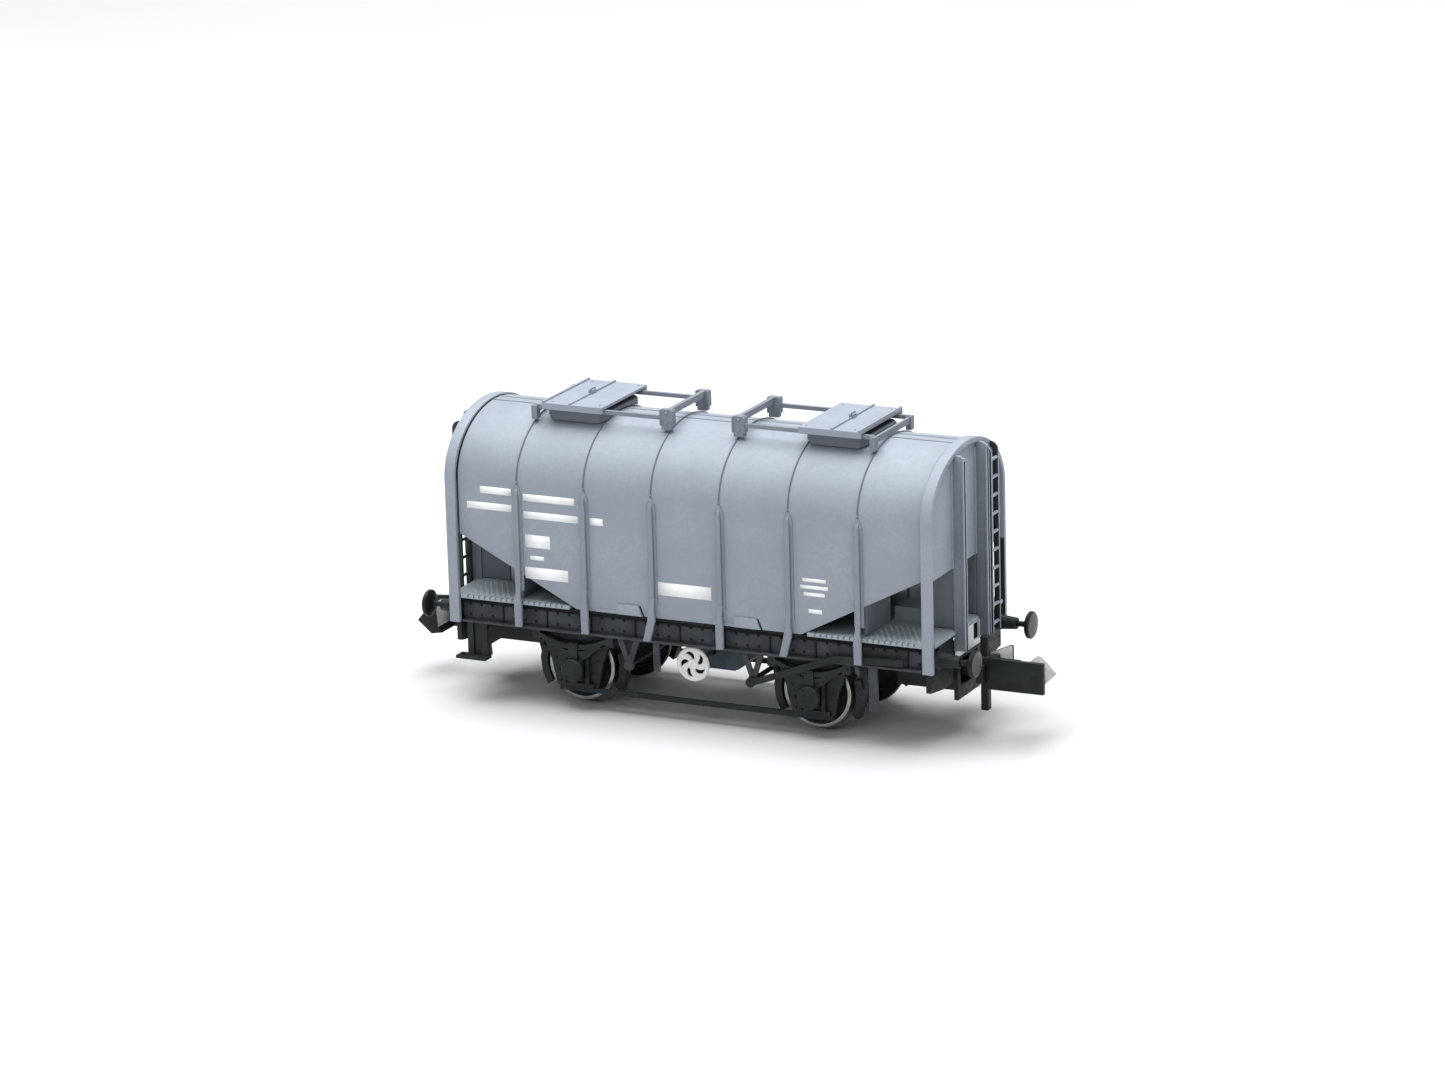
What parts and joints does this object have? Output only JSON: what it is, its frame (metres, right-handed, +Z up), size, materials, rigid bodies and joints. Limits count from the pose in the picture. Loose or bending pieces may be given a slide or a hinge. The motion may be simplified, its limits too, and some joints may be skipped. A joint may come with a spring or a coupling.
{
  "type": "model_railway_hopper_wagon",
  "caption": "Small-scale model of a two-axle covered grain hopper wagon: ribbed grey body with arched roof and sliding hatches, end ladders, black underframe, rolling wheelsets, sprung couplers",
  "frame": {"origin": "midway between the two axles and the two sides, at the level of the wheel flanges' lowest points", "axes": "+X along the wagon toward the end whose ladder is on the +Y side; +Y across it; +Z up"},
  "size_m": [0.0583, 0.016, 0.0261],
  "materials": {
    "body_paint": "satin blue-grey paint on moulded plastic",
    "chassis_plastic": "moulded black, slightly greenish",
    "coupler_plastic": "charcoal moulding",
    "tyre_nickel": "turned nickel-plated tread",
    "weight_steel": "bare steel",
    "spring_steel": "drawn wire",
    "wheel_white": "white paint"
  },
  "bodies": {
    "wagon": {"body_shell": "body_paint", "floor": "body_paint", "ballast_weight": "weight_steel", "discharge_chute": "chassis_plastic", "end_frame_right": "body_paint", "hopper_end_right": "body_paint", "ladder_right": "body_paint", "hatch_frame_right": "body_paint", "hatch_coaming_right": "body_paint", "headstock_right": "chassis_plastic", "coupler_pocket_right": "chassis_plastic", "brake_shaft_right": "chassis_plastic", "axleguard_right_near": "chassis_plastic", "brake_shoe_right_near": "chassis_plastic", "buffer_head_right_near": "coupler_plastic", "axleguard_right_far": "chassis_plastic", "brake_shoe_right_far": "chassis_plastic", "buffer_head_right_far": "coupler_plastic", "end_frame_left": "body_paint", "hopper_end_left": "body_paint", "ladder_left": "body_paint", "hatch_frame_left": "body_paint", "hatch_coaming_left": "body_paint", "headstock_left": "chassis_plastic", "coupler_pocket_left": "chassis_plastic", "brake_shaft_left": "chassis_plastic", "axleguard_left_near": "chassis_plastic", "brake_shoe_left_near": "chassis_plastic", "buffer_head_left_near": "coupler_plastic", "axleguard_left_far": "chassis_plastic", "brake_shoe_left_far": "chassis_plastic", "buffer_head_left_far": "coupler_plastic", "solebar_near": "chassis_plastic", "tie_bar_near": "chassis_plastic", "brake_lever_near": "chassis_plastic", "end_step_near": "chassis_plastic", "solebar_far": "chassis_plastic", "tie_bar_far": "chassis_plastic", "brake_lever_far": "chassis_plastic", "end_step_far": "chassis_plastic"},
    "wheelset_right": {"axle_right": "weight_steel", "tyre_right_near": "tyre_nickel", "tyre_right_far": "tyre_nickel", "wheel_centre_right_near": "chassis_plastic", "wheel_centre_right_far": "chassis_plastic"},
    "draft_right": {"coupler_spring_right": "spring_steel"},
    "coupling_right": {"coupler_right": "coupler_plastic"},
    "hatch_right": {"hatch_cover_right": "body_paint"},
    "wheelset_left": {"axle_left": "weight_steel", "tyre_left_near": "tyre_nickel", "tyre_left_far": "tyre_nickel", "wheel_centre_left_near": "chassis_plastic", "wheel_centre_left_far": "chassis_plastic"},
    "draft_left": {"coupler_spring_left": "spring_steel"},
    "coupling_left": {"coupler_left": "coupler_plastic"},
    "hatch_left": {"hatch_cover_left": "body_paint"},
    "discharge_wheel": {"handwheel_near": "wheel_white", "handwheel_far": "wheel_white", "handwheel_spindle": "weight_steel"}
  },
  "joints": [
    {"name": "wheelset_right_roll", "type": "hinge", "parent": "wagon", "child": "wheelset_right", "pos_m": [0.01085, 0, 0.0037], "axis": [0, 1, 0], "continuous": true},
    {"name": "wheelset_left_roll", "type": "hinge", "parent": "wagon", "child": "wheelset_left", "pos_m": [-0.01085, 0, 0.0037], "axis": [0, 1, 0], "continuous": true},
    {"name": "coupler_right_swing", "type": "hinge", "parent": "wagon", "child": "draft_right", "pos_m": [0.0192, 0, 0.0055], "axis": [0, 0, 1], "range_deg": [-12, 12], "stiffness_Nm_per_rad": 0.001},
    {"name": "coupler_right_lift", "type": "hinge", "parent": "draft_right", "child": "coupling_right", "pos_m": [0.0192, 0, 0.0055], "axis": [0, 1, 0], "range_deg": [-8, 9], "stiffness_Nm_per_rad": 0.001},
    {"name": "coupler_left_swing", "type": "hinge", "parent": "wagon", "child": "draft_left", "pos_m": [-0.0189, 0, 0.0055], "axis": [0, 0, 1], "range_deg": [-12, 12], "stiffness_Nm_per_rad": 0.001},
    {"name": "coupler_left_lift", "type": "hinge", "parent": "draft_left", "child": "coupling_left", "pos_m": [-0.0189, 0, 0.0055], "axis": [0, 1, 0], "range_deg": [-4.3, 12.7], "stiffness_Nm_per_rad": 0.001},
    {"name": "hatch_right_slide", "type": "slide", "parent": "wagon", "child": "hatch_right", "axis": [-1, 0, 0], "range_m": [0, 0.005]},
    {"name": "hatch_left_slide", "type": "slide", "parent": "wagon", "child": "hatch_left", "axis": [1, 0, 0], "range_m": [0, 0.005]},
    {"name": "discharge_wheel_turn", "type": "hinge", "parent": "wagon", "child": "discharge_wheel", "pos_m": [0, 0, 0.0052], "axis": [0, 1, 0], "continuous": true}
  ]
}
